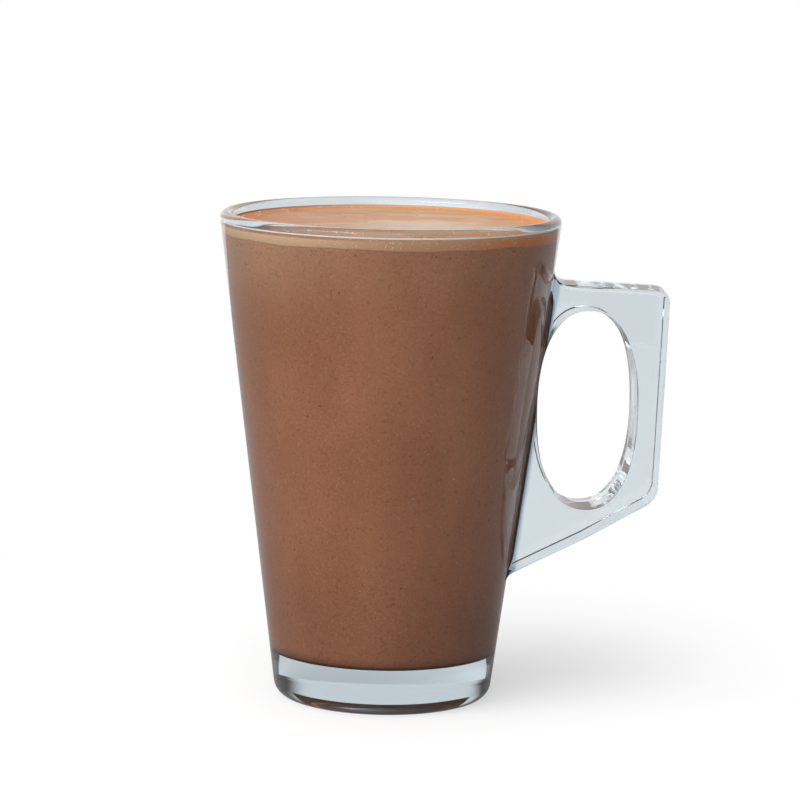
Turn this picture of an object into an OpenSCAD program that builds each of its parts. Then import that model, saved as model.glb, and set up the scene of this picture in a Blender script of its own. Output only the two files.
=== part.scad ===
// Hot chocolate in a pressed glass latte mug.
// Origin: the mug's axis on the plane it stands on. +Z is up and the handle points along +X.

/* [Mug] */
// Height of the mug, foot to rim
mug_h = 110; // [90:1:140]
// Outside diameter at the mouth, carried up to the rim's height
mouth_d = 76.9; // [68:0.1:92]
// Outside diameter that the wall's slope would reach at the table
foot_d = 48.5; // [44:0.1:60]
// Thickness of the wall
wall = 3; // [2:0.1:4.5]
// Thickness of the glass under the drink
base_t = 10.5; // [6:0.1:16]
// Radius round the outside of the foot
heel_r = 3.6; // [1.5:0.1:5]
// Radius inside, where the wall meets the floor
floor_r = 3; // [1:0.1:6]
// Diameter of the hollow under the foot, at the table
punt_d = 39.5; // [30:0.1:41]
// Depth of the hollow under the foot
punt_h = 2.5; // [1:0.1:4]
// Radius at the top of the hollow's side
punt_r = 0.5; // [0.3:0.1:1]
// Lean of the hollow's side
punt_lean = 10; // [3:1:30]

/* [Handle] */
// Thickness of the handle, measured across its two flat faces
grip_t = 14.5; // [10:0.1:18]
// How far the handle stands out past the mouth
grip_reach = 24.6; // [20:0.1:34]
// Drop from the rim to the handle's top edge, at the wall
grip_drop = 14.6; // [10:0.1:24]
// Height of the handle's outer edge
grip_h = 48; // [40:0.1:60]
// Fall of the top edge, away from the wall
top_fall = 3; // [0:0.1:8]
// Lean of the outer edge, its foot towards the mug
outer_lean = 2; // [0:0.1:6]
// Rise of the lower edge, away from the wall
foot_rise = 27.5; // [15:0.1:40]
// Outward bow of the lower edge
foot_bow = 0.5; // [0:0.1:1.5]
// Radius of the handle's upper corner
top_corner_r = 2.9; // [2:0.1:6]
// Radius of the handle's lower corner
foot_corner_r = 5.5; // [2:0.1:8]
// Radius along the upper edges of the flat faces
edge_r = 1.1; // [0.4:0.1:1.8]
// Radius along their other edges and round the finger hole
side_r = 0.5; // [0.3:0.1:1.8]
// Taper of the edges, from the mould's seam to each flat face
draft = 0.5; // [0.1:0.1:1.2]
// Radius of the hollow where the handle's edges run into the wall
root_r = 2.8; // [1:0.1:4]
// Radius of the hollow where the handle's faces run into the wall
web_r = 2.2; // [1:0.1:3.5]

/* [Finger hole] */
// Width of the hole at the seam
hole_w = 21.8; // [18:0.1:26]
// Height of the hole at the seam
hole_h = 44; // [36:0.1:50]
// Squareness of the hole, where 2 is a plain ellipse
hole_power = 2.3; // [2:0.05:3]
// Height of the glass above the hole
hole_bar = 6.4; // [4:0.1:12]
// Least glass between the hole and the wall's face
hole_web = 0.4; // [0.3:0.1:3]

/* [Drink] */
// Drop from the rim to the froth
head_gap = 2.2; // [2:0.1:40]
// Thickness of the froth
froth_t = 2.5; // [1:0.1:12]
// Climb of the froth at the wall
meniscus = 0.4; // [0.1:0.1:0.8]

/* [Hidden] */
$fn = 96;

// steps round a corner or an edge, round the hole and along the handle's root
ARC_STEPS = 5;
HOLE_STEPS = 56;
ROOT_STEPS = 16;
// how far the handle's root reaches into the wall, and how far its hollows sink in
bite = 0.65 * wall;
sink = 0.05;
// the smallest radius that the hollow beside the handle tapers to
tip_r = 0.05;

// ---- the wall's two straight lines, and the roundings on them, in radius and height
flare = (mouth_d - foot_d) / 2 / mug_h;
lean = atan(flare);
out = [cos(lean), -sin(lean)];
rim_r = wall / 2;
rim_c = [wall_r(mug_h - rim_r) - rim_r / cos(lean), mug_h - rim_r];
heel_c = [wall_r(heel_r) - heel_r / cos(lean), heel_r];
floor_c = [inner_r(base_t + floor_r) - floor_r / cos(lean), base_t + floor_r];
punt_side = punt_r * [cos(punt_lean), sin(punt_lean)];
punt_c = [
    punt_d / 2 - (punt_h - punt_r + punt_side.y) * tan(punt_lean) - punt_side.x,
    punt_h - punt_r
];

// ---- levels of the drink
froth_z = mug_h - head_gap;
drink_z = froth_z - froth_t;

// ---- the handle's outline at the seam, in X and Z
up = [flare, 1];
top_dir = [cos(top_fall), -sin(top_fall)];
outer_dir = [-sin(outer_lean), -cos(outer_lean)];
foot_dir = [cos(foot_rise), sin(foot_rise)];
top_z = mug_h - grip_drop;
root_top = [wall_r(top_z), top_z];
reach_x = mouth_d / 2 + grip_reach;
top_corner = root_top + top_dir * (reach_x - root_top.x) / top_dir.x;
foot_corner = top_corner + outer_dir * grip_h;
root_foot = crossing(foot_corner, foot_dir, [foot_d / 2, 0], up);
foot_mid = (root_foot + foot_corner) / 2 + foot_bow * [foot_dir.y, -foot_dir.x];

// ---- the finger hole, set off the wall and hung under the top edge
hole_a = hole_w / 2;
hole_b = hole_h / 2;
hole_off = norm([hole_a, hole_b * flare]) + hole_web / cos(lean);
top_slope = tan(top_fall);
hole_drop = hole_bar + hole_b + top_slope * (foot_d / 2 + hole_off - root_top.x);
hole_z = (top_z - hole_drop) / (1 + top_slope * flare);
hole_c = [wall_r(hole_z) + hole_off, hole_z];

// ---- the ends of the hollows where the handle's flat faces meet the wall
web_low = root_foot.y + (draft + side_r) / foot_dir.x;
web_high = root_top.y - (draft + edge_r) / top_dir.x;

// outside and inside radius of the wall at height z
function wall_r(z) = foot_d / 2 + flare * z;
function inner_r(z) = wall_r(z) - wall / cos(lean);

// face of the wall at height z, cut by an upright plane at a distance y from the axis
function wall_x(z, y) = sqrt(pow(wall_r(z), 2) - y * y);

// crossing of the line through p along u with the line through q along v
function crossing(p, u, q, v) = p + u * cross(q - p, v) / cross(u, v);

function unit(v) = v / norm(v);

// arc of radius r that rounds the corner at b, from the edge to a round to the edge to c
function corner(a, b, c, r) =
    let (
        u = unit(a - b),
        v = unit(c - b),
        middle = unit(u + v),
        half = acos(u * v) / 2,
        centre = b + middle * r / sin(half),
        turn = sign(cross(u, v)) * (90 - half),
        aim = atan2(-middle.y, -middle.x)
    )
    [for (i = [0 : ARC_STEPS])
        let (t = aim + turn * (1 - 2 * i / ARC_STEPS))
        centre + r * [cos(t), sin(t)]];

// inset of the handle's edge at a distance y from the seam: a taper, then a round of radius r
function inset(y, r) =
    let (over = max(0, abs(y) - grip_t / 2 + r))
    draft * abs(y) / (grip_t / 2) + r - sqrt(max(0, r * r - over * over));

// the handle's outline at a distance y from the seam, starting inside the wall
function grip_ring(y) =
    let (
        d = inset(y, side_r),
        top_d = inset(y, edge_r),
        foot_wall = [wall_x(root_foot.y, y) - sink, root_foot.y],
        top_wall = [wall_x(root_top.y, y) - sink, root_top.y],
        foot_in = d * [-foot_dir.y, foot_dir.x],
        outer_in = d * [outer_dir.y, -outer_dir.x],
        top_in = top_d * [top_dir.y, -top_dir.x],
        bow = foot_mid + foot_in,
        low_corner = crossing(root_foot + foot_in, foot_mid - root_foot, foot_wall, up),
        out_corner = crossing(bow, foot_corner - foot_mid, top_corner + outer_in, outer_dir),
        up_corner = crossing(top_corner + outer_in, outer_dir, root_top + top_in, top_dir),
        high_corner = crossing(up_corner, top_dir, top_wall, up),
        low = low_corner - up * 2 * root_r,
        high = high_corner + up * 2 * root_r,
        section = concat(
            [(low + high) / 2 - [bite, 0], low - [bite, 0], low],
            corner(low, low_corner, bow, root_r + d),
            [bow],
            corner(bow, out_corner, up_corner, foot_corner_r - d),
            corner(out_corner, up_corner, high_corner, top_corner_r - (d + top_d) / 2),
            corner(up_corner, high_corner, high, root_r + top_d),
            [high, high - [bite, 0]]
        )
    )
    [for (p = section) [p.x, y, p.y]];

// the hole's outline at a distance y from the seam
function hole_ring(y) =
    let (d = inset(y, side_r), power = 2 / hole_power)
    [for (i = [0 : HOLE_STEPS - 1])
        let (c = cos(360 * i / HOLE_STEPS), s = sin(360 * i / HOLE_STEPS))
        [
            hole_c.x + (hole_a + d) * sign(c) * pow(abs(c), power),
            y,
            hole_c.y + (hole_b + d) * sign(s) * pow(abs(s), power)
        ]];

// plan of the hollows at height z, from one flat face round the wall to the other
function web_ring(z) =
    let (
        end = min(z - web_low, web_high - z),
        r = max(tip_r, web_r * sin(90 * min(1, end / 2 / web_r))),
        across = grip_t / 2 + r,
        along = sqrt(pow(wall_r(z) + r, 2) - across * across),
        stop = atan2(-across, -along) + 90,
        arc = [for (i = [0 : ARC_STEPS])
            let (t = stop * i / ARC_STEPS - 90)
            [along + (r + sink) * cos(t), across + (r + sink) * sin(t), z]]
    )
    concat(
        [[arc[ARC_STEPS].x, 0, z]],
        [for (i = [ARC_STEPS : -1 : 0]) [arc[i].x, -arc[i].y, z]],
        arc
    );

// distances from the seam at which the outlines are drawn, from one face to the other
half_levels = [for (i = [0 : ARC_STEPS])
    grip_t / 2 - edge_r + edge_r * sin(90 * i / ARC_STEPS)];
levels = concat(
    [for (i = [ARC_STEPS : -1 : 0]) half_levels[i]],
    [0],
    [for (y = half_levels) -y]
);
past_face = grip_t / 2 + 2 * web_r;

// solid through rings of equally many points, closed by fans on its first and last ring
module loft(rings) {
    n = len(rings[0]);
    last = len(rings) - 1;
    polyhedron(
        points = [for (ring = rings) each ring],
        faces = concat(
            [[for (j = [0 : n - 1]) j]],
            [for (i = [0 : last - 1], j = [0 : n - 1])
                [i * n + j, (i + 1) * n + j, (i + 1) * n + (j + 1) % n, i * n + (j + 1) % n]],
            [[for (j = [n : -1 : 1]) last * n + j % n]]
        ),
        convexity = 6
    );
}

// section of the glass, from the axis outwards, with round rim, heel and floor
module glass_section() {
    difference() {
        union() {
            polygon([
                [0, 0],
                [heel_c.x, 0],
                heel_c + heel_r * out,
                rim_c + rim_r * out,
                rim_c - rim_r * out,
                floor_c + floor_r * out,
                [floor_c.x, base_t],
                [0, base_t]
            ]);
            translate(heel_c) circle(heel_r);
            translate(rim_c) circle(rim_r);
        }
        translate(floor_c) circle(floor_r);
        punt_section();
    }
}

// section of the hollow under the foot: flat, with a leaning side that rounds into it
module punt_section() {
    polygon([
        [0, -1],
        [punt_d / 2 + tan(punt_lean), -1],
        punt_c + punt_side,
        [punt_c.x, punt_h],
        [0, punt_h]
    ]);
    translate(punt_c) circle(punt_r);
}

// section of what the glass holds, from the floor up to height z
module fill_section(z) {
    polygon([
        [0, base_t],
        [floor_c.x, base_t],
        floor_c + floor_r * out,
        [inner_r(z), z],
        [0, z]
    ]);
    translate(floor_c) circle(floor_r);
}

// section of the froth, with a small climb where it meets the wall
module froth_section() {
    edge = inner_r(froth_z);
    polygon([
        [0, drink_z],
        [inner_r(drink_z), drink_z],
        [edge, froth_z],
        [0, froth_z]
    ]);
    difference() {
        polygon([
            [edge - meniscus, froth_z],
            [edge, froth_z],
            [inner_r(froth_z + meniscus), froth_z + meniscus],
            [edge - meniscus, froth_z + meniscus]
        ]);
        translate([edge - meniscus, froth_z + meniscus]) circle(meniscus);
    }
}

// flat handle with round edges and a finger hole, running into the wall with hollows
module handle() {
    difference() {
        union() {
            loft([for (y = levels) grip_ring(y)]);
            loft([for (i = [0 : ROOT_STEPS])
                web_ring(web_low + (web_high - web_low) * (1 - cos(180 * i / ROOT_STEPS)) / 2)]);
        }
        loft([for (y = concat([past_face], levels, [-past_face])) hole_ring(y)]);
    }
}

// the glass mug: a turned body with a thick foot, and its handle
module mug() {
    color("lightcyan", 0.5) {
        rotate_extrude() glass_section();
        handle();
    }
}

// the drink, filling the glass up to the froth
module hot_chocolate() {
    color("saddlebrown") rotate_extrude() fill_section(drink_z);
}

// the froth on the drink
module froth() {
    color("burlywood") rotate_extrude() froth_section();
}

mug();
hot_chocolate();
froth();
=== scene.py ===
"""Hot chocolate in a pressed glass mug, laid out as an add-on: the glass, the drink, its froth
and the bubbles and specks in them, each with its finish, and a plain studio."""

import math

import bpy
import numpy as np
from bpy.props import FloatProperty, FloatVectorProperty, IntProperty, PointerProperty
from bpy.types import Operator, Panel, PropertyGroup
from mathutils import Matrix, Vector


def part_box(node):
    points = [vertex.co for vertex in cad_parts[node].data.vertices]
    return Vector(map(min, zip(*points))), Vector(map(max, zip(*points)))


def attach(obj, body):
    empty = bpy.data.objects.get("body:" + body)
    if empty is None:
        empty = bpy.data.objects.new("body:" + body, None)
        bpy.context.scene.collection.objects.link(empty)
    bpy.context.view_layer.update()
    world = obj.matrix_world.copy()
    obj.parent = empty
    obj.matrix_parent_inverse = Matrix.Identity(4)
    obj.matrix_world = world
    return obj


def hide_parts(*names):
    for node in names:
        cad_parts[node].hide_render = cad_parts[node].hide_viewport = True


bl_info = {
    "name": "Hot chocolate in a glass mug",
    "version": (1, 0, 0),
    "blender": (4, 5, 0),
    "location": "3D View > Sidebar > Hot chocolate",
    "description": "Makes the glass mug, the drink and its froth, and a plain studio for them",
    "category": "Add Mesh",
}

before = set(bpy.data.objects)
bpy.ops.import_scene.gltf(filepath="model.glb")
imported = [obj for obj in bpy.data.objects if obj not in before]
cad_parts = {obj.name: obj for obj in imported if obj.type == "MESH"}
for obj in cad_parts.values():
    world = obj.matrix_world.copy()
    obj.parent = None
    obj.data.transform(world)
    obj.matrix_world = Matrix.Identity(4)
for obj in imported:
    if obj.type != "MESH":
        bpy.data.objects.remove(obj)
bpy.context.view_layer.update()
MUG_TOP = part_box("mug")[1].z
DRINK_FLOOR, DRINK_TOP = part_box("hot_chocolate")[0].z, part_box("hot_chocolate")[1].z

FROTH_SINK = 0.00004    # how much further than the drink the froth reaches into the glass
FLOOR_GAP = 0.00004     # from the foot down to the table top
KEY_PLACE = (-0.55, -0.45, 0.80)    # the long soft light, high at the front left
KEY_AIM = (0, 0, 0.05)              # what it points at, halfway up the mug


# ---- sizes and colours

def length(name, about, default):
    """A size in metres."""
    return FloatProperty(name=name, description=about, default=default, min=0, precision=5, unit="LENGTH")


def angle(name, about, degrees):
    """An angle, given in degrees."""
    return FloatProperty(name=name, description=about, default=math.radians(degrees), subtype="ANGLE")


def amount(name, about, default):
    """A plain number."""
    return FloatProperty(name=name, description=about, default=default, precision=3)


def count(name, about, default):
    """A number of like things."""
    return IntProperty(name=name, description=about, default=default, min=1)


def colour(name, about, default):
    """A colour, in linear red, green and blue."""
    return FloatVectorProperty(name=name, description=about, default=default, size=3, min=0, max=1,
                               subtype="COLOR")


class MugSizes(PropertyGroup):
    """Sizes of the turned part of the glass."""
    height: length("Height", "Height of the mug, foot to rim", MUG_TOP)
    mouth: length("Mouth", "Outside diameter at the mouth, carried up to the rim's height", 0.0769)
    foot: length("Foot", "Outside diameter that the wall's slope would reach at the table", 0.0485)
    wall: length("Wall", "Thickness of the wall", 0.003)
    base: length("Base", "Thickness of the glass under the drink", DRINK_FLOOR)
    heel_round: length("Heel round", "Radius round the outside of the foot", 0.0036)
    floor_round: length("Floor round", "Radius inside, where the wall meets the floor", 0.003)
    hollow: length("Hollow", "Diameter of the hollow under the foot, at the table", 0.0395)
    hollow_depth: length("Hollow depth", "Depth of the hollow under the foot", 0.0025)
    hollow_round: length("Hollow round", "Radius at the top of the hollow's side", 0.0005)
    hollow_slope: angle("Hollow slope", "Lean of the hollow's side", 10)
    turns: count("Turns", "Steps round the mug", 320)


class HandleSizes(PropertyGroup):
    """Sizes of the flat handle and its finger hole."""
    thickness: length("Thickness", "Thickness across the two flat faces", 0.0145)
    reach: length("Reach", "How far the handle stands out past the mouth", 0.0246)
    drop: length("Drop", "Drop from the rim to the handle's top edge, at the wall", 0.0146)
    height: length("Height", "Height of the outer edge", 0.048)
    top_fall: angle("Top fall", "Fall of the top edge, away from the wall", 3)
    outer_lean: angle("Outer lean", "Lean of the outer edge, its foot towards the mug", 2)
    foot_rise: angle("Foot rise", "Rise of the lower edge, away from the wall", 27.5)
    foot_bow: length("Foot bow", "Outward bow of the lower edge", 0.0005)
    top_corner: length("Upper corner", "Radius of the upper corner", 0.0029)
    foot_corner: length("Lower corner", "Radius of the lower corner", 0.0055)
    edge_round: length("Upper edge round", "Radius along the upper edges of the flat faces", 0.0011)
    side_round: length("Other edge rounds", "Radius along the other edges and round the hole", 0.0003)
    draft: length("Draft", "Taper of the edges, from the seam to each flat face", 0.0005)
    root_round: length("Root round", "Radius where the edges run into the wall", 0.0028)
    web_round: length("Web round", "Radius where the flat faces run into the wall", 0.0022)
    hole_width: length("Hole width", "Width of the finger hole at the seam", 0.0218)
    hole_height: length("Hole height", "Height of the finger hole at the seam", 0.044)
    hole_power: amount("Hole squareness", "Squareness of the hole, where 2 is a plain ellipse", 2.3)
    hole_bar: length("Hole bar", "Height of the glass above the hole", 0.0064)
    hole_web: length("Hole web", "Least glass between the hole and the wall's face", 0.0004)


class DrinkSizes(PropertyGroup):
    """Sizes of the drink, the froth and what is in them."""
    froth_thickness: length("Froth", "Thickness of the froth", 0.0025)
    froth_climb: length("Froth climb", "Climb of the froth at the wall", 0.00043)
    into_wall: length("Into wall", "How far the drink reaches into the glass, so no air shows", 0.00012)
    border_wave: length("Border wave", "Unevenness of the froth's lower border", 0.00016)
    relief: length("Froth relief", "Unevenness of the froth's top", 0.00005)
    speck: length("Cocoa speck", "Width of a middling cocoa speck", 0.00021)
    specks: count("Cocoa specks", "Number of cocoa specks at the wall", 1600)
    pinhole: length("Pinhole bubble", "Width of a middling bubble in the drink at the wall", 0.00015)
    pinholes: count("Pinhole bubbles", "Number of bubbles in the drink at the wall", 260)
    bubble: length("Froth bubble", "Width of a middling froth bubble", 0.00026)
    side_bubbles: count("Side bubbles", "Number of froth bubbles at the wall", 1900)
    top_bubbles: count("Top bubbles", "Number of froth bubbles on top", 1100)


class Finishes(PropertyGroup):
    """Colours of the glass, the drink, the froth and the floor."""
    glass: colour("Glass", "Tint of light through the glass", (0.67, 0.725, 0.748))
    # painted shade: the slate tint at the handle's root stands for the dark look of light through the thick
    # glass there
    glass_joint_shade: colour("Glass joint", "Tint of the glass where the handle meets the body",
                        (0.16, 0.24, 0.31))
    glass_depth: colour("Glass depth", "Tint that grows with the depth of glass", (0.27, 0.455, 0.566))
    glass_density: amount("Glass density", "How fast that tint grows, for each metre of glass", 7.0)
    glass_shade: colour("Glass shade", "Light that the glass lets on to what is behind it",
                        (0.88, 0.90, 0.91))
    chocolate: colour("Chocolate", "The drink", (0.385, 0.141, 0.065))
    chocolate_deep: colour("Deep chocolate", "The drink's darker clouds", (0.325, 0.113, 0.050))
    speck: colour("Speck", "Cocoa specks", (0.085, 0.025, 0.010))
    pinhole: colour("Pinhole", "Small bubbles in the drink", (0.62, 0.42, 0.30))
    froth: colour("Froth", "The froth at its middle", (0.47, 0.235, 0.098))
    froth_rim: colour("Froth rim", "The froth along the wall", (0.60, 0.29, 0.125))
    froth_band: colour("Froth band", "The froth pressed against the glass", (0.56, 0.28, 0.145))
    froth_light: colour("Light froth", "The froth against the glass on the side away from the handle",
                        (0.70, 0.445, 0.27))
    froth_pale: colour("Pale froth", "The froth's palest streaks", (0.58, 0.365, 0.215))
    # painted reflection: the pale patch on the froth's top stands for the white room mirrored in it
    froth_painted_reflection: colour("Milk on the froth", "The milky patch towards the front", (0.51, 0.42, 0.345))
    glint: colour("Glint", "The bright line where the froth climbs the glass", (0.66, 0.72, 0.76))
    froth_deep: colour("Deep froth", "The froth over the handle side", (0.74, 0.18, 0.016))
    bubble: colour("Bubble", "Froth bubbles", (0.70, 0.50, 0.34))
    floor: colour("Floor", "The studio floor", (0.93, 0.93, 0.93))


class StudioSettings(PropertyGroup):
    """Camera and light."""
    distance: length("Distance", "From the mug's axis to the camera, along the table", 0.85093)
    camera_height: length("Camera height", "Height of the camera over the table", 0.19606)
    swing: angle("Swing", "Turn of the handle away from the camera", 4.469)
    aim: angle("Aim", "Turn of the camera away from the mug's axis", 0.189)
    pitch: angle("Pitch", "Downward slope of the camera", 8.583)
    roll: angle("Roll", "Roll of the camera", 1.152)
    lens: amount("Lens", "Focal length in millimetres", 171.96)
    room: amount("Room", "Even light from all round", 0.07)
    backdrop: amount("Backdrop", "Extra light from behind the mug", 0.98)
    ceiling: amount("Ceiling", "Extra light from above", 0.75)
    bank: amount("Bank", "Extra light from the bank of lamps at the front left", 2.2)
    bank_turn: angle("Bank turn", "Turn of the bank from the front to the left", 39)
    bank_rise: angle("Bank rise", "Height of the bank over the horizon", 29)
    # painted shade: share of the floor's reflections that it shows black
    filter: amount("Filter", "Share of the table's reflection that the lens filter takes away", 0.55)
    # painted shade: share of the floor's bounced light that it shows black
    bounce_shade: amount("Spill", "Share of the light thrown back by the table that black cards take away", 0.6)
    # painted light: share of pure white that the floor glows with before the camera
    floor_glow: amount("Haze", "Share of pure white that the bright backdrop adds over the table", 0.36)
    key: amount("Key light", "Power of the long soft light, in watts", 2.0)
    key_size: length("Key size", "Length of the long soft light", 0.6)
    table: length("Table", "Half the width of the studio table", 0.6)
    table_front: length("Table front", "From the mug's axis to the front of the table", 0.60)
    table_back: length("Table back", "From the mug's axis to the back of the table", 0.60)


# ---- shader maths

class Wire:
    """One output of a shader node. Sums on it add Math nodes, so 1 - mask works."""

    def __init__(self, graph, socket):
        self.graph, self.socket = graph, socket

    def sum_with(self, operation, first, second):
        """One Math node."""
        return self.graph.node("ShaderNodeMath", {"operation": operation}, {0: first, 1: second})

    def __add__(self, other):
        return self.sum_with("ADD", self, other)

    def __sub__(self, other):
        return self.sum_with("SUBTRACT", self, other)

    def __rsub__(self, other):
        return self.sum_with("SUBTRACT", other, self)

    def __mul__(self, other):
        return self.sum_with("MULTIPLY", self, other)

    def __truediv__(self, other):
        return self.sum_with("DIVIDE", self, other)

    __radd__ = __add__
    __rmul__ = __mul__


class Graph:
    """The node tree of one material or world."""

    def __init__(self, owner):
        owner.use_nodes = True
        self.tree = owner.node_tree
        self.tree.nodes.clear()

    def node(self, kind, settings=None, values=None, output=0):
        """Adds a node: its settings come first, then the values or wires of its sockets."""
        node = self.tree.nodes.new(kind)
        for name, value in (settings or {}).items():
            setattr(node, name, value)
        for name, value in (values or {}).items():
            if isinstance(value, Wire):
                self.tree.links.new(value.socket, node.inputs[name])
            else:
                node.inputs[name].default_value = value
        return Wire(self, node.outputs[output])

    def place(self):
        """The point being shaded, in the mug's own metres."""
        return self.node("ShaderNodeTexCoord", output="Object")

    def axis(self, vector, name):
        """X, Y or Z of a vector."""
        return self.node("ShaderNodeSeparateXYZ", None, {0: vector}, name)

    def ray(self, kind):
        """1 for a ray of that kind, and 0 for any other."""
        return self.node("ShaderNodeLightPath", output=f"Is {kind} Ray")

    def noise(self, vector, size, detail=2.0, stretch=(1, 1, 1), rough=0.5):
        """Soft noise from 0 to 1 with lumps of about the given size in metres."""
        scaled = self.node("ShaderNodeMapping", None, {"Vector": vector, "Scale": stretch})
        return self.node("ShaderNodeTexNoise", None,
                         {"Vector": scaled, "Scale": 1 / size, "Detail": detail, "Roughness": rough})

    def step(self, value, low, high, start=0.0, end=1.0):
        """Eases from start to end as value goes from low to high."""
        return self.node("ShaderNodeMapRange", {"interpolation_type": "SMOOTHSTEP"},
                         {"Value": value, "From Min": low, "From Max": high, "To Min": start, "To Max": end})

    def mix(self, share, first, second):
        """Mixes two colours, given as three numbers or wires."""
        first, second = (c if isinstance(c, Wire) else (*c, 1) for c in (first, second))
        return self.node("ShaderNodeMix", {"data_type": "RGBA"}, {0: share, 6: first, 7: second}, 2)

    def root(self, value):
        """Square root."""
        return self.node("ShaderNodeMath", {"operation": "SQRT"}, {0: value})

    def bump(self, height, depth):
        """Normal of a surface whose height, from 0 to 1, stands for depth in metres."""
        return self.node("ShaderNodeBump", None, {"Height": height, "Distance": depth, "Strength": 1.0})

    def surface(self, shader, kind="ShaderNodeOutputMaterial"):
        """Sets the surface shader, or the world's."""
        self.end = self.tree.nodes.new(kind)
        self.tree.links.new(shader.socket, self.end.inputs["Surface"])

    def inside(self, shader):
        """Sets the volume shader. It comes after surface."""
        self.tree.links.new(shader.socket, self.end.inputs["Volume"])


def new_finish(name):
    """A new material and its graph."""
    material = bpy.data.materials.new(name)
    return material, Graph(material)


# ---- meshes

def new_object(name, points, faces):
    """Object with a smooth-shaded mesh in metres."""
    mesh = bpy.data.meshes.new(name)
    mesh.from_pydata(np.asarray(points, float).tolist(), [], faces)
    mesh.shade_smooth()
    obj = bpy.data.objects.new(name, mesh)
    bpy.context.scene.collection.objects.link(obj)
    return obj


def ring_shell(name, rings, ends):
    """Closed shell through rings of equally many points, an array of rings, steps and XYZ.
    Point i, j joins i, j + 1 and i + 1, j. Each end is closed by a fan to a pole, or by one flat face."""
    rings = np.asarray(rings, float)
    rows, steps = rings.shape[:2]
    here = np.arange(rows * steps).reshape(rows, steps)
    on = np.roll(here, -1, axis=1)
    quads = np.stack([here[:-1], on[:-1], on[1:], here[1:]], -1).reshape(-1, 4)
    points, faces = rings.reshape(-1, 3), quads.tolist()
    for pole, row, turned in ((ends[0], 0, True), (ends[1], -1, False)):
        a, b = (on[row], here[row]) if turned else (here[row], on[row])
        if pole is None:
            faces.append((here[row][::-1] if turned else here[row]).tolist())
        else:
            middle = np.full(steps, len(points))
            points = np.concatenate([points, [pole]])
            faces += np.stack([middle, a, b], -1).tolist()
    return new_object(name, points, faces)


def turned(name, profile, turns):
    """Solid of revolution: each point (radius, height) of the profile is carried round the axis.
    The profile runs from the axis, out, up and back to the axis."""
    around = np.linspace(0, 2 * np.pi, turns, endpoint=False)
    profile = np.asarray(profile, float)
    inner = profile[1:-1, None]
    rings = np.stack(np.broadcast_arrays(inner[..., 0] * np.cos(around), inner[..., 0] * np.sin(around),
                                         inner[..., 1]), -1)
    return ring_shell(name, rings, ([0, 0, profile[0, 1]], [0, 0, profile[-1, 1]]))


def arc(centre, radius, start, end, steps):
    """Points on a circle, from one angle to another."""
    t = np.linspace(start, end, steps + 1)
    return np.asarray(centre) + radius * np.stack([np.cos(t), np.sin(t)], -1)


def line(start, end, steps):
    """Points inside a straight line, without its two ends."""
    t = np.linspace(0, 1, steps + 1)[1:-1, None]
    return np.asarray(start) * (1 - t) + np.asarray(end) * t


def ripples(x, y, shortest, longest, waves, seed):
    """Uneven surface from -1 to 1 or so: a sum of plane waves in random directions and phases."""
    rng = np.random.default_rng(seed)
    size = np.exp(rng.uniform(math.log(shortest), math.log(longest), waves))
    way, phase = rng.uniform(0, 2 * np.pi, (2, waves))
    along = x[..., None] * np.cos(way) + y[..., None] * np.sin(way)
    height = np.sin(2 * np.pi * along / size + phase) * size / longest
    return height.sum(-1) / math.sqrt(waves) * 2


def combined(base, tool, operation):
    """One exact Boolean of two closed shells. Both objects give way to the result."""
    change = base.modifiers.new("combined", "BOOLEAN")
    change.operation, change.solver, change.object = operation, "EXACT", tool
    bpy.context.view_layer.update()
    whole = base.evaluated_get(bpy.context.evaluated_depsgraph_get())
    result = bpy.data.meshes.new_from_object(whole)
    result.name = base.name
    base.modifiers.clear()
    base.data = result
    bpy.data.objects.remove(tool)
    return base


def at_wall(section, around, z, depth):
    """Places at the inner wall, with the direction out of it at each: its radius at height z plus depth,
    at the angles around, and across the slope of the cone."""
    radius = section.inner(z) + depth
    places = np.stack([radius * np.cos(around), radius * np.sin(around), z], -1)
    return places, np.stack([np.cos(around), np.sin(around), np.full(len(z), -section.flare)], -1)


def scattered(name, places, outward, sizes, sides, bands, seed, lumpy):
    """Many small closed blobs in one mesh. A blob is a ball of a few sides and bands, scaled to its own
    width, height and depth, with its depth along outward, and lumpy in its radius."""
    rng = np.random.default_rng(seed)
    number = len(places)
    down = np.linspace(0, np.pi, bands + 1)[1:-1]
    around = np.linspace(0, 2 * np.pi, sides, endpoint=False)
    belt = np.stack([np.outer(np.sin(down), np.cos(around)), np.outer(np.sin(down), np.sin(around)),
                     np.outer(np.cos(down), np.ones(sides))], -1).reshape(-1, 3)
    ball = np.concatenate([belt, [[0, 0, 1], [0, 0, -1]]])
    out = outward / np.linalg.norm(outward, axis=1, keepdims=True)
    helper = np.where(np.abs(out[:, 2:]) > 0.9, [[1.0, 0, 0]], [[0, 0, 1.0]])
    across = np.cross(helper, out)
    across /= np.linalg.norm(across, axis=1, keepdims=True)
    axes = np.stack([across, np.cross(out, across), out], 1) * (sizes / 2)[:, :, None]
    uneven = 1 + lumpy * rng.uniform(-1, 1, (number, len(ball), 1))
    points = places[:, None] + np.einsum("bk,nkx->nbx", ball, axes) * uneven
    here = np.arange((bands - 1) * sides).reshape(bands - 1, sides)
    on = np.roll(here, -1, axis=1)
    quads = np.stack([here[:-1], here[1:], on[1:], on[:-1]], -1).reshape(-1, 4)
    top, bottom = np.full(sides, len(belt)), np.full(sides, len(belt) + 1)
    fans = np.concatenate([np.stack([top, here[0], on[0]], -1), np.stack([bottom, on[-1], here[-1]], -1)])
    shift = (np.arange(number) * len(ball))[:, None, None]
    faces = (quads + shift).reshape(-1, 4).tolist() + (fans + shift).reshape(-1, 3).tolist()
    return new_object(name, points.reshape(-1, 3), faces)


def finish_piece(obj, material, node=None):
    """Gives a finished piece its material, lets it ride on the part, and hides the CAD node that it
    stands for."""
    obj.data.materials.clear()
    obj.data.materials.append(material)
    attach(obj, "root")
    if node:
        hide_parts(node)
    return obj


# ---- the mug's section

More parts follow.
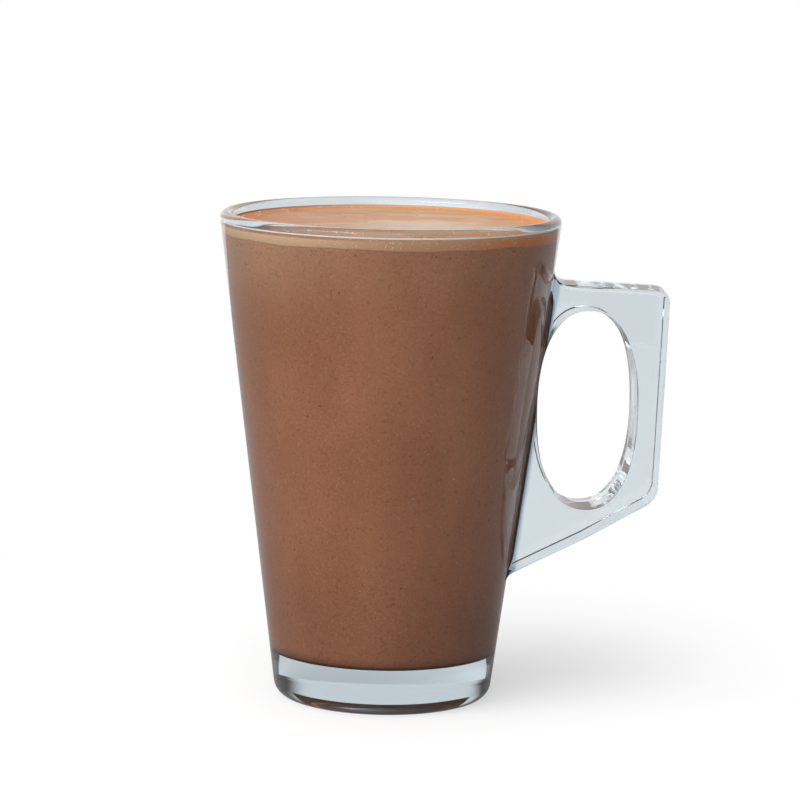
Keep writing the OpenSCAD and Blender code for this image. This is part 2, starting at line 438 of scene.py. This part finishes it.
class Section:
    """Lines and rounds of the mug's section, in radius and height."""

    def __init__(self, sizes):
        self.sizes = sizes
        self.flare = (sizes.mouth - sizes.foot) / 2 / sizes.height
        self.lean = math.atan(self.flare)
        self.out = np.array([math.cos(self.lean), -math.sin(self.lean)])
        rim = sizes.wall / 2
        self.rim = np.array([self.outer(sizes.height - rim) - rim / self.out[0], sizes.height - rim])
        heel = sizes.heel_round
        self.heel = np.array([self.outer(heel) - heel / self.out[0], heel])
        high = sizes.base + sizes.floor_round
        self.floor = np.array([self.inner(high) - sizes.floor_round / self.out[0], high])

    def outer(self, z):
        """Outside radius at height z."""
        return self.sizes.foot / 2 + self.flare * z

    def inner(self, z):
        """Inside radius at height z."""
        return self.outer(z) - self.sizes.wall / math.cos(self.lean)

    def glass(self):
        """Profile of the glass: hollow, foot, heel, wall, round rim, inner wall, floor round and floor."""
        s, lean = self.sizes, self.lean
        slope, bend, high = s.hollow_slope, s.hollow_round, s.hollow_depth - s.hollow_round
        across = s.hollow / 2 - (high + bend * math.sin(slope)) * math.tan(slope) - bend * math.cos(slope)
        corner = arc((across, high), bend, math.pi / 2, slope, 10)
        edge = np.array([s.hollow / 2, 0])
        hollow = np.concatenate([[(0, s.hollow_depth)], line((0, s.hollow_depth), corner[0], 8), corner,
                                 line(corner[-1], edge, 4), [edge]])
        heel = arc(self.heel, s.heel_round, -math.pi / 2, -lean, 18)
        rim = arc(self.rim, s.wall / 2, -lean, math.pi - lean, 28)
        inside = arc(self.floor, s.floor_round, -lean, -math.pi / 2, 14)
        return np.concatenate([hollow, line(hollow[-1], heel[0], 3), heel, line(heel[-1], rim[0], 44), rim,
                               line(rim[-1], inside[0], 40), inside, line(inside[-1], (0, s.base), 7),
                               [[0, s.base]]])

    def check(self):
        """Stops if these sizes don't give the packed mug."""
        low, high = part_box("mug")
        built = self.rim[0] + self.sizes.wall / 2
        if abs(built + low.x) > 1e-4 or abs(self.sizes.height - high.z) > 1e-4:
            raise RuntimeError("The mug's sizes don't agree with the packed model")


# ---- the handle

def unit(v):
    """The direction of a vector."""
    return v / np.linalg.norm(v)


def cross(a, b):
    """Cross product of two flat vectors."""
    return a[0] * b[1] - a[1] * b[0]


def crossing(p, u, q, v):
    """Crossing of the line through p along u with the line through q along v."""
    return p + u * cross(q - p, v) / cross(u, v)


def rounded(before, at, after, radius, steps=14):
    """Arc that rounds the corner at a point between two others."""
    u, v = unit(before - at), unit(after - at)
    middle = unit(u + v)
    half = math.acos(u @ v) / 2
    centre = at + middle * radius / math.sin(half)
    turn = math.copysign(math.pi / 2 - half, cross(u, v))
    aim = math.atan2(-middle[1], -middle[0])
    return arc(centre, radius, aim + turn, aim - turn, steps)


class Handle:
    """Outlines of the flat handle, its finger hole and the hollows along its root."""

    SINK = 0.00001
    ROUND_STEPS = 10

    def __init__(self, section, sizes):
        self.section, self.sizes = section, sizes
        mug = section.sizes
        self.up = np.array([section.flare, 1.0])
        self.top_way = np.array([math.cos(sizes.top_fall), -math.sin(sizes.top_fall)])
        self.outer_way = np.array([-math.sin(sizes.outer_lean), -math.cos(sizes.outer_lean)])
        self.foot_way = np.array([math.cos(sizes.foot_rise), math.sin(sizes.foot_rise)])
        top_z = mug.height - sizes.drop
        self.root_top = np.array([section.outer(top_z), top_z])
        run = mug.mouth / 2 + sizes.reach - self.root_top[0]
        self.top_corner = self.root_top + self.top_way * run / self.top_way[0]
        self.foot_corner = self.top_corner + self.outer_way * sizes.height
        self.root_foot = crossing(self.foot_corner, self.foot_way, np.array([mug.foot / 2, 0]), self.up)
        bow = sizes.foot_bow * np.array([self.foot_way[1], -self.foot_way[0]])
        self.foot_mid = (self.root_foot + self.foot_corner) / 2 + bow
        half_w, half_h = sizes.hole_width / 2, sizes.hole_height / 2
        off = math.hypot(half_w, half_h * section.flare) + sizes.hole_web / math.cos(section.lean)
        slope = math.tan(sizes.top_fall)
        fall = sizes.hole_bar + half_h + slope * (mug.foot / 2 + off - self.root_top[0])
        hole_z = (top_z - fall) / (1 + slope * section.flare)
        self.hole = np.array([section.outer(hole_z) + off, hole_z])
        self.web_low = self.root_foot[1] + (sizes.draft + sizes.side_round) / self.foot_way[0]
        self.web_high = self.root_top[1] - (sizes.draft + sizes.edge_round) / self.top_way[0]

    def wall_x(self, z, y):
        """The wall's face at height z, cut by an upright plane at distance y."""
        return math.sqrt(self.section.outer(z) ** 2 - y * y)

    def inset(self, y, radius):
        """Inset of the edge at distance y from the seam: a taper, then a round of that radius."""
        half = self.sizes.thickness / 2
        over = max(0.0, abs(y) - half + radius)
        return self.sizes.draft * abs(y) / half + radius - math.sqrt(max(0.0, radius ** 2 - over ** 2))

    def levels(self):
        """Distances from the seam at which outlines are drawn, from one face to the other, closest along
        the seam and the edges."""
        s = self.sizes
        turn = np.sin(np.linspace(0, np.pi / 2, self.ROUND_STEPS + 1))
        bends = [s.thickness / 2 - radius + radius * turn for radius in (s.edge_round, s.side_round)]
        half = np.unique(np.round(np.concatenate([[0.0001, 0.0003, bends[0][0] / 2], *bends]), 7))
        return np.concatenate([half[::-1], [0.0], -half])

    def plate_ring(self, y):
        """The handle's outline at distance y from the seam, closed inside the wall."""
        s = self.sizes
        d, top_d = self.inset(y, s.side_round), self.inset(y, s.edge_round)
        bite = np.array([0.65 * self.section.sizes.wall, 0])
        foot_wall = np.array([self.wall_x(self.root_foot[1], y) - self.SINK, self.root_foot[1]])
        top_wall = np.array([self.wall_x(self.root_top[1], y) - self.SINK, self.root_top[1]])
        foot_in = d * np.array([-self.foot_way[1], self.foot_way[0]])
        outer_in = d * np.array([self.outer_way[1], -self.outer_way[0]])
        top_in = top_d * np.array([self.top_way[1], -self.top_way[0]])
        bow = self.foot_mid + foot_in
        low_corner = crossing(self.root_foot + foot_in, self.foot_mid - self.root_foot, foot_wall, self.up)
        out_corner = crossing(bow, self.foot_corner - self.foot_mid, self.top_corner + outer_in,
                              self.outer_way)
        up_corner = crossing(self.top_corner + outer_in, self.outer_way, self.root_top + top_in,
                             self.top_way)
        high_corner = crossing(up_corner, self.top_way, top_wall, self.up)
        low = low_corner - self.up * 2 * s.root_round
        high = high_corner + self.up * 2 * s.root_round
        outline = np.concatenate([
            [low - bite, low],
            rounded(low, low_corner, bow, s.root_round + d),
            line(low_corner, bow, 8)[4:], [bow], line(bow, out_corner, 8)[:4],
            rounded(bow, out_corner, up_corner, s.foot_corner - d),
            line(out_corner, up_corner, 12)[3:-3],
            rounded(out_corner, up_corner, high_corner, s.top_corner - (d + top_d) / 2),
            line(up_corner, high_corner, 8)[2:-2],
            rounded(up_corner, high_corner, high, s.root_round + top_d),
            [high, high - bite],
        ])
        return np.insert(outline, 1, y, axis=1)

    def hole_ring(self, y):
        """The hole's outline at distance y: an oval with its ends a little squared."""
        s, d = self.sizes, self.inset(y, self.sizes.side_round)
        t = np.linspace(0, 2 * np.pi, 176, endpoint=False)
        c, sn, power = np.cos(t), np.sin(t), 2 / s.hole_power
        return np.stack([self.hole[0] + (s.hole_width / 2 + d) * np.sign(c) * np.abs(c) ** power,
                         np.full_like(t, y),
                         self.hole[1] + (s.hole_height / 2 + d) * np.sign(sn) * np.abs(sn) ** power], -1)

    def web_ring(self, z):
        """Plan of the hollows at height z, from one flat face round the wall to the other."""
        s = self.sizes
        end = min(z - self.web_low, self.web_high - z)
        r = max(0.00005, s.web_round * math.sin(math.pi / 2 * min(1, end / 2 / s.web_round)))
        across = s.thickness / 2 + r
        along = math.sqrt((self.section.outer(z) + r) ** 2 - across ** 2)
        stop = math.atan2(-across, -along) + math.pi / 2
        bend = arc((along, across), r + self.SINK, -math.pi / 2, stop - math.pi / 2, self.ROUND_STEPS)
        half = np.insert(bend, 2, z, axis=1)
        return np.concatenate([[[bend[-1, 0], 0, z]], half[::-1] * [1, -1, 1], half])

    def build(self):
        """The plate and its hollows joined, with the finger hole cut through both."""
        levels = self.levels()
        past = self.sizes.thickness / 2 + 2 * self.sizes.web_round
        plate = ring_shell("glass_mug_plate", [self.plate_ring(y) for y in levels], (None, None))
        steps = (1 - np.cos(np.linspace(0, np.pi, 49))) / 2
        web = ring_shell("glass_mug_web",
                         [self.web_ring(z) for z in self.web_low + (self.web_high - self.web_low) * steps],
                         (None, None))
        hole = ring_shell("glass_mug_hole",
                          [self.hole_ring(y) for y in np.concatenate([[past], levels, [-past]])],
                          (None, None))
        return combined(combined(plate, web, "UNION"), hole, "DIFFERENCE")


# ---- finishes

def glass_finish(look, section, face):
    """Clear pressed glass with a cool tint, the faint ripple of the mould, and a painted shade: a slate
    strip where the handle's two faces, at distance face from the seam, meet the body, for the dark look of
    light through the thick glass there. Shadows and soft light pass straight through it, so that what it
    holds is lit."""
    material, g = new_finish("clear_glass")
    place = g.place()
    x, y, z = (g.axis(place, n) for n in "XYZ")
    ripple = g.noise(place, 0.011, 1.0)
    radius = g.root(x * x + y * y)
    off = radius - section.outer(0) - section.flare * z
    ragged = off + (g.noise(place, 0.012, 1.0) - 0.5) * 0.0008
    # painted shade: a slate strip along the handle's root, for the dark look of light through the thick
    # glass there
    joint_shade = g.step(off, 0.00015, 0.0003) * g.step(ragged, 0.0013, 0.0021, 1.0, 0.0)
    joint_shade = joint_shade * g.step(x, 0.015, 0.018)
    low, high = face - 0.00105, face - 0.00065
    joint_shade = joint_shade * g.step(y, -high, -low, 1.0, 0.0) + joint_shade * g.step(y, low, high)
    tint = g.mix(joint_shade * 0.85, look.glass, look.glass_joint_shade)
    glass = g.node("ShaderNodeBsdfPrincipled", None, {
        "Base Color": tint, "Roughness": 0.0, "IOR": 1.5, "Transmission Weight": 1.0,
        "Normal": g.bump(ripple, 0.000035)})
    clear = g.node("ShaderNodeBsdfTransparent", None, {"Color": (*look.glass_shade, 1)})
    share = g.node("ShaderNodeMath", {"operation": "MAXIMUM"}, {0: g.ray("Shadow"), 1: g.ray("Diffuse")})
    g.surface(g.node("ShaderNodeMixShader", None, {0: share, 1: glass, 2: clear}))
    g.inside(g.node("ShaderNodeVolumeAbsorption", None, {
        "Color": (*look.glass_depth, 1), "Density": look.glass_density}))
    return material


def chocolate_finish(look):
    """Milky cocoa: slow upright clouds and a fine grain of cocoa, with painted light making the top paler,
    most of all on the left, and painted shade darkening it towards the foot.
    """
    material, g = new_finish("chocolate")
    place = g.place()
    clouds = g.step(g.noise(place, 0.016, 3.0, (1, 1, 0.45)), 0.3, 0.7)
    grain = g.step(g.noise(place, 0.00055, 2.0), 0.3, 0.7, -0.5, 0.5)
    body = g.mix(clouds, look.chocolate, look.chocolate_deep)
    x, z = g.axis(place, "X"), g.axis(place, "Z")
    # painted light: paler towards the top, and paler still high on the left side, where the light falls
    painted_light = g.step(z, DRINK_TOP - 0.016, DRINK_TOP, 0.0, 0.09)
    painted_light = painted_light + g.step(x, -0.034, -0.005, 0.22, 0.0) * g.step(z, DRINK_TOP - 0.024, DRINK_TOP)
    body = g.mix(painted_light, body, look.froth_light)
    # painted shade: darker towards the bottom, and darker still at the heel, where the drink turns away from
    # the light
    painted_low_shade = g.step(z, DRINK_FLOOR, DRINK_FLOOR + 0.034, 0.24, 0.0)
    foot = g.step(z, DRINK_FLOOR + 0.0002, DRINK_FLOOR + 0.0011, 0.75, 0.0)
    painted_low_shade = (painted_low_shade + foot) * g.step(z, DRINK_FLOOR - 0.00008, DRINK_FLOOR)
    dots = (g.step(g.noise(place, 0.0011, 1.0), 0.62, 0.70, 0.0, 0.13)
            + g.step(g.noise(place, 0.0005, 1.0), 0.58, 0.68, 0.0, 0.13))
    body = g.mix(g.step(g.noise(place, 0.0006, 1.0), 0.62, 0.72, 0.0, 0.12), body, look.froth_light)
    fine = g.mix(0.16 * grain + 0.07 + painted_low_shade + dots, body, look.speck)
    g.surface(g.node("ShaderNodeBsdfPrincipled", None, {
        "Base Color": fine, "Roughness": 0.6, "Specular IOR Level": 0.0}))
    return material


def froth_colour(g, place, look, section, top):
    """Colour of the froth: orange along the wall, paler in the middle, with soft streaks and a painted
    reflection, a pale patch towards the front for the white room mirrored in it, browner away from the
    handle, and deeper orange on the handle's side. It also gives the share of the ring along the wall."""
    x, y, z = (g.axis(place, n) for n in "XYZ")
    radius = g.root(x * x + y * y)
    wobble = g.noise(place, 0.006, 3.0)
    edge = section.inner(top)
    ring = g.step(radius + (wobble - 0.5) * 0.004, edge - 0.0085, edge - 0.003)
    streaks = g.step(g.noise(place, 0.013, 4.0, (0.7, 1.5, 1), 0.6), 0.42, 0.68)
    middle = g.mix(streaks, look.froth, look.froth_pale)
    # painted reflection: a pale patch towards the front, for the white room mirrored in the froth's top
    across, along = (x - 0.005) / 0.016, (y + 0.010) / 0.012
    reflection_patch = g.step(across * across + along * along + (wobble - 0.5) * 2.0, 0.1, 1.6)
    reflection_patch = (1 - reflection_patch) * (0.7 + 0.3 * streaks)
    middle = g.mix(reflection_patch, middle, look.froth_painted_reflection)
    body = g.mix(ring, middle, look.froth_rim)
    body = g.mix(g.step(x, -0.030, 0.010, 0.62, 0.0), body, look.chocolate)
    band = g.step(z, top - 0.0007, top - 0.0003, 1.0, 0.0)
    away = g.step(x, -0.030, 0.004, 1.0, 0.0)
    body = g.mix(band, body, g.mix(away, look.froth_band, look.froth_light))
    side = g.step(x + (wobble - 0.5) * 0.012, 0.008, 0.030) * ring * (0.3 + 0.7 * band)
    body = g.mix(side, body, look.froth_deep)
    low = g.step(z, top - 0.0022, top - 0.0004, 0.28, 0.0)
    body = g.mix(low, body, look.chocolate)
    glint = g.step(z, top + 0.0001, top + 0.0002) * g.step(radius, edge + 0.00004, edge + 0.00012)
    return g.mix(glint, body, look.glint), ring


def froth_finish(look, section, top):
    """Fine froth: matte tan foam along the wall, and a wetter, glossier skin in the middle."""
    material, g = new_finish("froth")
    place = g.place()
    body, ring = froth_colour(g, place, look, section, top)
    cells = g.node("ShaderNodeTexVoronoi", {"feature": "SMOOTH_F1"}, {"Vector": place, "Scale": 2600.0})
    fine = g.noise(place, 0.0004, 3.0)
    speckle = g.step(fine, 0.55, 0.75) * (0.15 + 0.3 * ring)
    body = g.mix(speckle, body, look.froth_pale)
    height = g.step(cells, 0.0, 0.7, 1.0, 0.0)
    wet = g.step(g.axis(place, "Z"), top - 0.0003, top - 0.0001) * (0.3 - 0.2 * ring)
    g.surface(g.node("ShaderNodeBsdfPrincipled", None, {
        "Base Color": body, "Roughness": 0.75, "Specular IOR Level": 0.0, "Coat Weight": wet,
        "Coat Roughness": 0.06, "Coat IOR": 1.33, "Normal": g.bump(height, 0.00001)}))
    return material


def bubble_finish(look, section, top):
    """Skins of small froth bubbles, in the froth's own colours, some paler than others."""
    material, g = new_finish("froth_bubbles")
    place = g.place()
    body, _ = froth_colour(g, place, look, section, top)
    pick = g.step(g.noise(place, 0.0005, 1.0), 0.38, 0.62)
    body = g.mix(pick * 0.85, body, look.bubble)
    dark = g.step(g.noise(place, 0.0007, 1.0), 0.60, 0.66)
    body = g.mix(dark * 0.3, body, look.speck)
    g.surface(g.node("ShaderNodeBsdfPrincipled", None, {
        "Base Color": body, "Roughness": 0.25, "Specular IOR Level": 0.5}))
    return material


def dot_finish(name, first, second, size):
    """Small dots whose colour runs between two tones from one dot to the next."""
    material, g = new_finish(name)
    pick = g.step(g.noise(g.place(), size, 1.0), 0.35, 0.65)
    g.surface(g.node("ShaderNodeBsdfPrincipled", None, {
        "Base Color": g.mix(pick, first, second), "Roughness": 0.5, "Specular IOR Level": 0.1}))
    return material


# ---- one operator for each piece

class HOTCHOC_OT_glass_mug(Operator):
    """Make the glass mug, a turned body joined to its flat handle"""
    bl_idname = "hot_chocolate.glass_mug"
    bl_label = "Glass mug"

    def execute(self, context):
        kit = context.scene.hot_chocolate
        section = Section(kit.mug)
        section.check()
        body = turned("glass_mug", section.glass(), kit.mug.turns)
        mug = combined(body, Handle(section, kit.handle).build(), "UNION")
        mug.data.shade_smooth()
        mug.data.set_sharp_from_angle(angle=math.radians(32))
        even = mug.modifiers.new("even_normals", "WEIGHTED_NORMAL")
        even.keep_sharp = True
        if len(mug.data.polygons) < 1000:
            raise RuntimeError("The glass didn't join up")
        finish_piece(mug, glass_finish(kit.look, section, kit.handle.thickness / 2), "mug")
        return {"FINISHED"}


class HOTCHOC_OT_drink(Operator):
    """Make the drink, which reaches just into the glass"""
    bl_idname = "hot_chocolate.drink"
    bl_label = "Drink"

    def execute(self, context):
        kit = context.scene.hot_chocolate
        section, into = Section(kit.mug), kit.drink.into_wall
        lean, floor = section.lean, section.floor
        top = DRINK_TOP + 0.4 * kit.drink.froth_thickness
        low = (0, kit.mug.base - into)
        inside = arc(floor, kit.mug.floor_round + into, -math.pi / 2, -lean, 14)
        rim = np.array([section.inner(top) + into, top])
        profile = np.concatenate([[low], line(low, inside[0], 8), inside, line(inside[-1], rim, 60), [rim],
                                  line(rim, (0, top), 8), [[0, top]]])
        drink = turned("chocolate_drink", profile, kit.mug.turns)
        finish_piece(drink, chocolate_finish(kit.look), "hot_chocolate")
        return {"FINISHED"}


class HOTCHOC_OT_froth(Operator):
    """Make the froth, with an uneven lower border, a soft relief and a climb at the wall"""
    bl_idname = "hot_chocolate.froth"
    bl_label = "Froth"

    def execute(self, context):
        kit = context.scene.hot_chocolate
        section, sizes = Section(kit.mug), kit.drink
        top = DRINK_TOP + sizes.froth_thickness
        around = np.linspace(0, 2 * np.pi, 480, endpoint=False)
        wall = 0.032    # about the wall's radius, so that the waves close on themselves
        border = ripples(wall * np.cos(around), wall * np.sin(around), 0.003, 0.026, 40, 5)
        into = sizes.into_wall + FROTH_SINK
        under = np.linspace(0.1, 1, 5)[:, None] * np.ones_like(around)
        low = DRINK_TOP + border * sizes.border_wave
        bottom = np.stack([under * (section.inner(low) + into), low + 0 * under], -1)
        rise = np.linspace(0, 1, 9)[1:, None]
        high = top + sizes.froth_climb
        z = low + (high - low) * rise
        side = np.stack([section.inner(z) + into, z], -1)
        edge = section.inner(top) - sizes.froth_climb
        turn = np.linspace(0, -np.pi / 2, 9)[:, None] + 0 * around
        curl = np.stack([edge + sizes.froth_climb * np.cos(turn),
                         high + sizes.froth_climb * np.sin(turn)], -1)
        inward = np.linspace(1, 0.012, 84)[1:, None] + 0 * around
        flat = np.stack([edge * inward, top + 0 * inward], -1)
        rings = np.concatenate([bottom, side, curl, flat])
        x, y = rings[..., 0] * np.cos(around), rings[..., 0] * np.sin(around)
        calm = np.clip((edge - rings[..., 0]) / 0.002, 0, 1) * (rings[..., 1] > top - 1e-6)
        lift = calm * ripples(x, y, 0.0025, 0.02, 46, 11) * sizes.relief
        points = np.stack([x, y, rings[..., 1] + lift], -1)
        poles = ([0, 0, DRINK_TOP], [0, 0, float(points[-1, :, 2].mean())])
        froth = ring_shell("froth_layer", points, poles)
        finish_piece(froth, froth_finish(kit.look, section, top), "froth")
        return {"FINISHED"}


class HOTCHOC_OT_specks(Operator):
    """Scatter cocoa specks and pinhole bubbles over the drink's side"""
    bl_idname = "hot_chocolate.specks"
    bl_label = "Specks and pinholes"

    def execute(self, context):
        kit = context.scene.hot_chocolate
        section, sizes = Section(kit.mug), kit.drink
        for name, number, width, finish, seed in (
                ("cocoa_specks", sizes.specks, sizes.speck,
                 ("specks", kit.look.speck, kit.look.chocolate_deep), 3),
                ("pinhole_bubbles", sizes.pinholes, sizes.pinhole,
                 ("pinholes", kit.look.pinhole, kit.look.froth), 4)):
            rng = np.random.default_rng(seed)
            around = rng.uniform(0, 2 * np.pi, number)
            span = DRINK_TOP - kit.mug.base
            near_top = rng.random(number) < 0.16
            down = np.where(near_top, rng.exponential(0.0012, number),
                            rng.uniform(0.0003, span - 0.004, number))
            z = DRINK_TOP - np.minimum(down, span - 0.004)
            places, out = at_wall(section, around, z, sizes.into_wall)
            across = width * np.exp(rng.normal(0, 0.38, number))
            blob = np.stack([across, across * rng.uniform(0.6, 1.3, number), np.full(number, 0.00006)], -1)
            dots = scattered(name, places, out, blob, 6, 4, seed, 0.22)
            finish_piece(dots, dot_finish(*finish, 0.002))
        return {"FINISHED"}


class HOTCHOC_OT_froth_bubbles(Operator):
    """Scatter small bubbles through the froth's side and over its top"""
    bl_idname = "hot_chocolate.froth_bubbles"
    bl_label = "Froth bubbles"

    def execute(self, context):
        kit = context.scene.hot_chocolate
        section, sizes = Section(kit.mug), kit.drink
        top = DRINK_TOP + sizes.froth_thickness
        rng = np.random.default_rng(8)
        number = sizes.side_bubbles
        around = rng.uniform(0, 2 * np.pi, number)
        z = top - sizes.froth_thickness * rng.beta(1.1, 1.6, number) * 0.96
        places, out = at_wall(section, around, z, sizes.into_wall + FROTH_SINK)
        across = sizes.bubble * 0.8 * np.exp(rng.normal(0, 0.35, number))
        blob = np.stack([across, across, np.full(number, 0.00010)], -1)
        material = bubble_finish(kit.look, section, top)
        side = scattered("froth_side_bubbles", places, out, blob, 8, 5, 8, 0.05)
        finish_piece(side, material)
        number = sizes.top_bubbles
        around = rng.uniform(0, 2 * np.pi, number)
        edge = section.inner(top) - 0.00035
        radius = np.where(rng.random(number) < 0.88, edge - rng.exponential(0.0012, number),
                          edge * np.sqrt(rng.random(number)))
        radius = np.clip(radius, 0, edge)
        across = sizes.bubble * np.exp(rng.normal(0, 0.45, number))
        places = np.stack([radius * np.cos(around), radius * np.sin(around), np.full(number, top)], -1)
        out = np.broadcast_to([0.0, 0.0, 1.0], (number, 3))
        blob = np.stack([across, across, across * 0.55], -1)
        cover = scattered("froth_top_bubbles", places, out, blob, 8, 5, 9, 0.03)
        finish_piece(cover, material)
        return {"FINISHED"}


class HOTCHOC_OT_studio(Operator):
    """Set up the pale floor, the soft light and the camera"""
    bl_idname = "hot_chocolate.studio"
    bl_label = "Studio"

    def execute(self, context):
        kit = context.scene.hot_chocolate
        self.floor(kit.look, kit.studio)
        self.light(context.scene, kit.studio)
        self.camera(context.scene, kit.studio)
        scene = context.scene
        scene.view_settings.view_transform = "Standard"
        scene.cycles.use_denoising = True
        scene.cycles.max_bounces = 24
        scene.cycles.transmission_bounces = 20
        scene.cycles.glossy_bounces = 8
        scene.cycles.diffuse_bounces = 4
        scene.cycles.transparent_max_bounces = 16
        return {"FINISHED"}

    def floor(self, look, studio):
        """A white table top just under the foot. It shows black to part of the rays that reflect it and of
        the light it throws back, a painted shade, and the camera sees it glow white, a painted light that
        hides its shadow more to the right and the back."""
        side, front, back, low = studio.table, -studio.table_front, studio.table_back, -FLOOR_GAP
        floor = new_object("studio_floor", [[-side, front, low], [side, front, low], [side, back, low],
                                            [-side, back, low]], [[0, 1, 2, 3]])
        material, g = new_finish("studio_floor")
        top = g.node("ShaderNodeBsdfDiffuse", None, {"Color": (*look.floor, 1)})
        dark = g.node("ShaderNodeBsdfDiffuse", None, {"Color": (0, 0, 0, 1)})
        white = g.node("ShaderNodeEmission", None, {"Color": (1, 1, 1, 1)})
        glossy, through, soft, seen = (g.ray(kind) for kind in
                                       ("Glossy", "Transmission", "Diffuse", "Camera"))
        place = g.place()
        x, y = g.axis(place, "X"), g.axis(place, "Y")
        # painted light: the floor glows white to the camera, which fades its cast shadow out to the right
        # and the back
        shadow_kept = g.step(x, 0.045, 0.11, 1.0, 0.0) * g.step(y, 0.05, 0.16, 1.0, 0.0)
        glow_share = 1 - (1 - studio.floor_glow) * shadow_kept
        # painted shade: the floor shows black to part of the reflected rays and of the bounced light
        lost = studio.filter * glossy * (1 - through) + studio.bounce_shade * soft
        table = g.node("ShaderNodeMixShader", None, {0: lost, 1: top, 2: dark})
        g.surface(g.node("ShaderNodeMixShader", None, {0: glow_share * seen, 1: table, 2: white}))
        floor.data.materials.append(material)

    def towards(self, g, way, turn, rise):
        """Share of a direction that points to a place in the room, by its turn to the left and its rise."""
        aim = (-math.sin(turn) * math.cos(rise), -math.cos(turn) * math.cos(rise), math.sin(rise))
        return g.node("ShaderNodeVectorMath", {"operation": "DOT_PRODUCT"}, {0: way, 1: aim}, "Value")

    def light(self, scene, studio):
        """A dim room with a bright backdrop, ceiling and bank of lamps, and one long soft light."""
        world = bpy.data.worlds.new("studio")
        scene.world = world
        g = Graph(world)
        way = g.node("ShaderNodeTexCoord", output="Generated")
        x, y, z = (g.axis(way, n) for n in "XYZ")
        room = (studio.room + studio.backdrop * g.step(y, 0.55, 0.80) * g.step(z, 0.35, 0.6, 1.0, 0.0)
                + studio.ceiling * g.step(z, 0.5, 0.9)
                + studio.bank * g.step(self.towards(g, way, studio.bank_turn, studio.bank_rise), 0.5, 0.9))
        seen = g.ray("Camera")
        strength = seen + (1 - seen) * room
        g.surface(g.node("ShaderNodeBackground", None, {"Color": (1, 1, 1, 1), "Strength": strength}),
                  "ShaderNodeOutputWorld")
        lamp = bpy.data.lights.new("key_light", "AREA")
        lamp.shape, lamp.energy = "RECTANGLE", studio.key
        lamp.size, lamp.size_y = studio.key_size, studio.key_size / 4
        key = bpy.data.objects.new("key_light", lamp)
        scene.collection.objects.link(key)
        key.location = KEY_PLACE
        key.rotation_mode = "QUATERNION"
        key.rotation_quaternion = (Vector(KEY_AIM) - key.location).to_track_quat("-Z", "Y")

    def camera(self, scene, studio):
        """Camera a little above the rim, turned and rolled as a hand-set tripod is."""
        data = bpy.data.cameras.new("studio_camera")
        data.lens, data.sensor_width = studio.lens, 36.0
        data.clip_start, data.clip_end = 0.01, 100.0
        camera = bpy.data.objects.new("studio_camera", data)
        scene.collection.objects.link(camera)
        turn, pitch, roll = studio.swing + studio.aim, studio.pitch, studio.roll
        ahead = Vector((math.sin(turn) * math.cos(pitch), math.cos(turn) * math.cos(pitch),
                        -math.sin(pitch)))
        level = Vector((math.cos(turn), -math.sin(turn), 0))
        over = level.cross(ahead)
        right = level * math.cos(roll) + over * math.sin(roll)
        up = over * math.cos(roll) - level * math.sin(roll)
        place = Vector((-studio.distance * math.sin(studio.swing),
                        -studio.distance * math.cos(studio.swing), studio.camera_height))
        camera.matrix_world = Matrix.Translation(place) @ Matrix((right, up, -ahead)).transposed().to_4x4()
        scene.camera = camera


# ---- panel and registration

class HotChocolateKit(PropertyGroup):
    """Everything a maker may change."""
    mug: PointerProperty(type=MugSizes)
    handle: PointerProperty(type=HandleSizes)
    drink: PointerProperty(type=DrinkSizes)
    look: PointerProperty(type=Finishes)
    studio: PointerProperty(type=StudioSettings)


PIECES = (HOTCHOC_OT_studio, HOTCHOC_OT_glass_mug, HOTCHOC_OT_drink, HOTCHOC_OT_froth, HOTCHOC_OT_specks,
          HOTCHOC_OT_froth_bubbles)
GROUPS = (("mug", MugSizes), ("handle", HandleSizes), ("drink", DrinkSizes), ("look", Finishes),
          ("studio", StudioSettings))


class HOTCHOC_PT_panel(Panel):
    """Sizes, colours and the button for each piece"""
    bl_idname = "HOTCHOC_PT_panel"
    bl_label = "Hot chocolate"
    bl_space_type = "VIEW_3D"
    bl_region_type = "UI"
    bl_category = "Hot chocolate"

    def draw(self, context):
        kit = context.scene.hot_chocolate
        for operator in PIECES:
            self.layout.operator(operator.bl_idname)
        for name, group in GROUPS:
            box = self.layout.box()
            box.label(text=group.__doc__)
            for setting in group.__annotations__:
                box.prop(getattr(kit, name), setting)


CLASSES = tuple(group for _, group in GROUPS) + (HotChocolateKit,) + PIECES + (HOTCHOC_PT_panel,)


def register():
    """Makes the settings, the buttons and the panel known."""
    for item in CLASSES:
        bpy.utils.register_class(item)
    bpy.types.Scene.hot_chocolate = PointerProperty(type=HotChocolateKit)


def unregister():
    """Takes them away again."""
    del bpy.types.Scene.hot_chocolate
    for item in reversed(CLASSES):
        bpy.utils.unregister_class(item)


def main():
    """Makes the studio and every piece."""
    register()
    bpy.ops.hot_chocolate.studio()
    bpy.ops.hot_chocolate.glass_mug()
    bpy.ops.hot_chocolate.drink()
    bpy.ops.hot_chocolate.froth()
    bpy.ops.hot_chocolate.specks()
    bpy.ops.hot_chocolate.froth_bubbles()


if __name__ == "__main__":
    main()
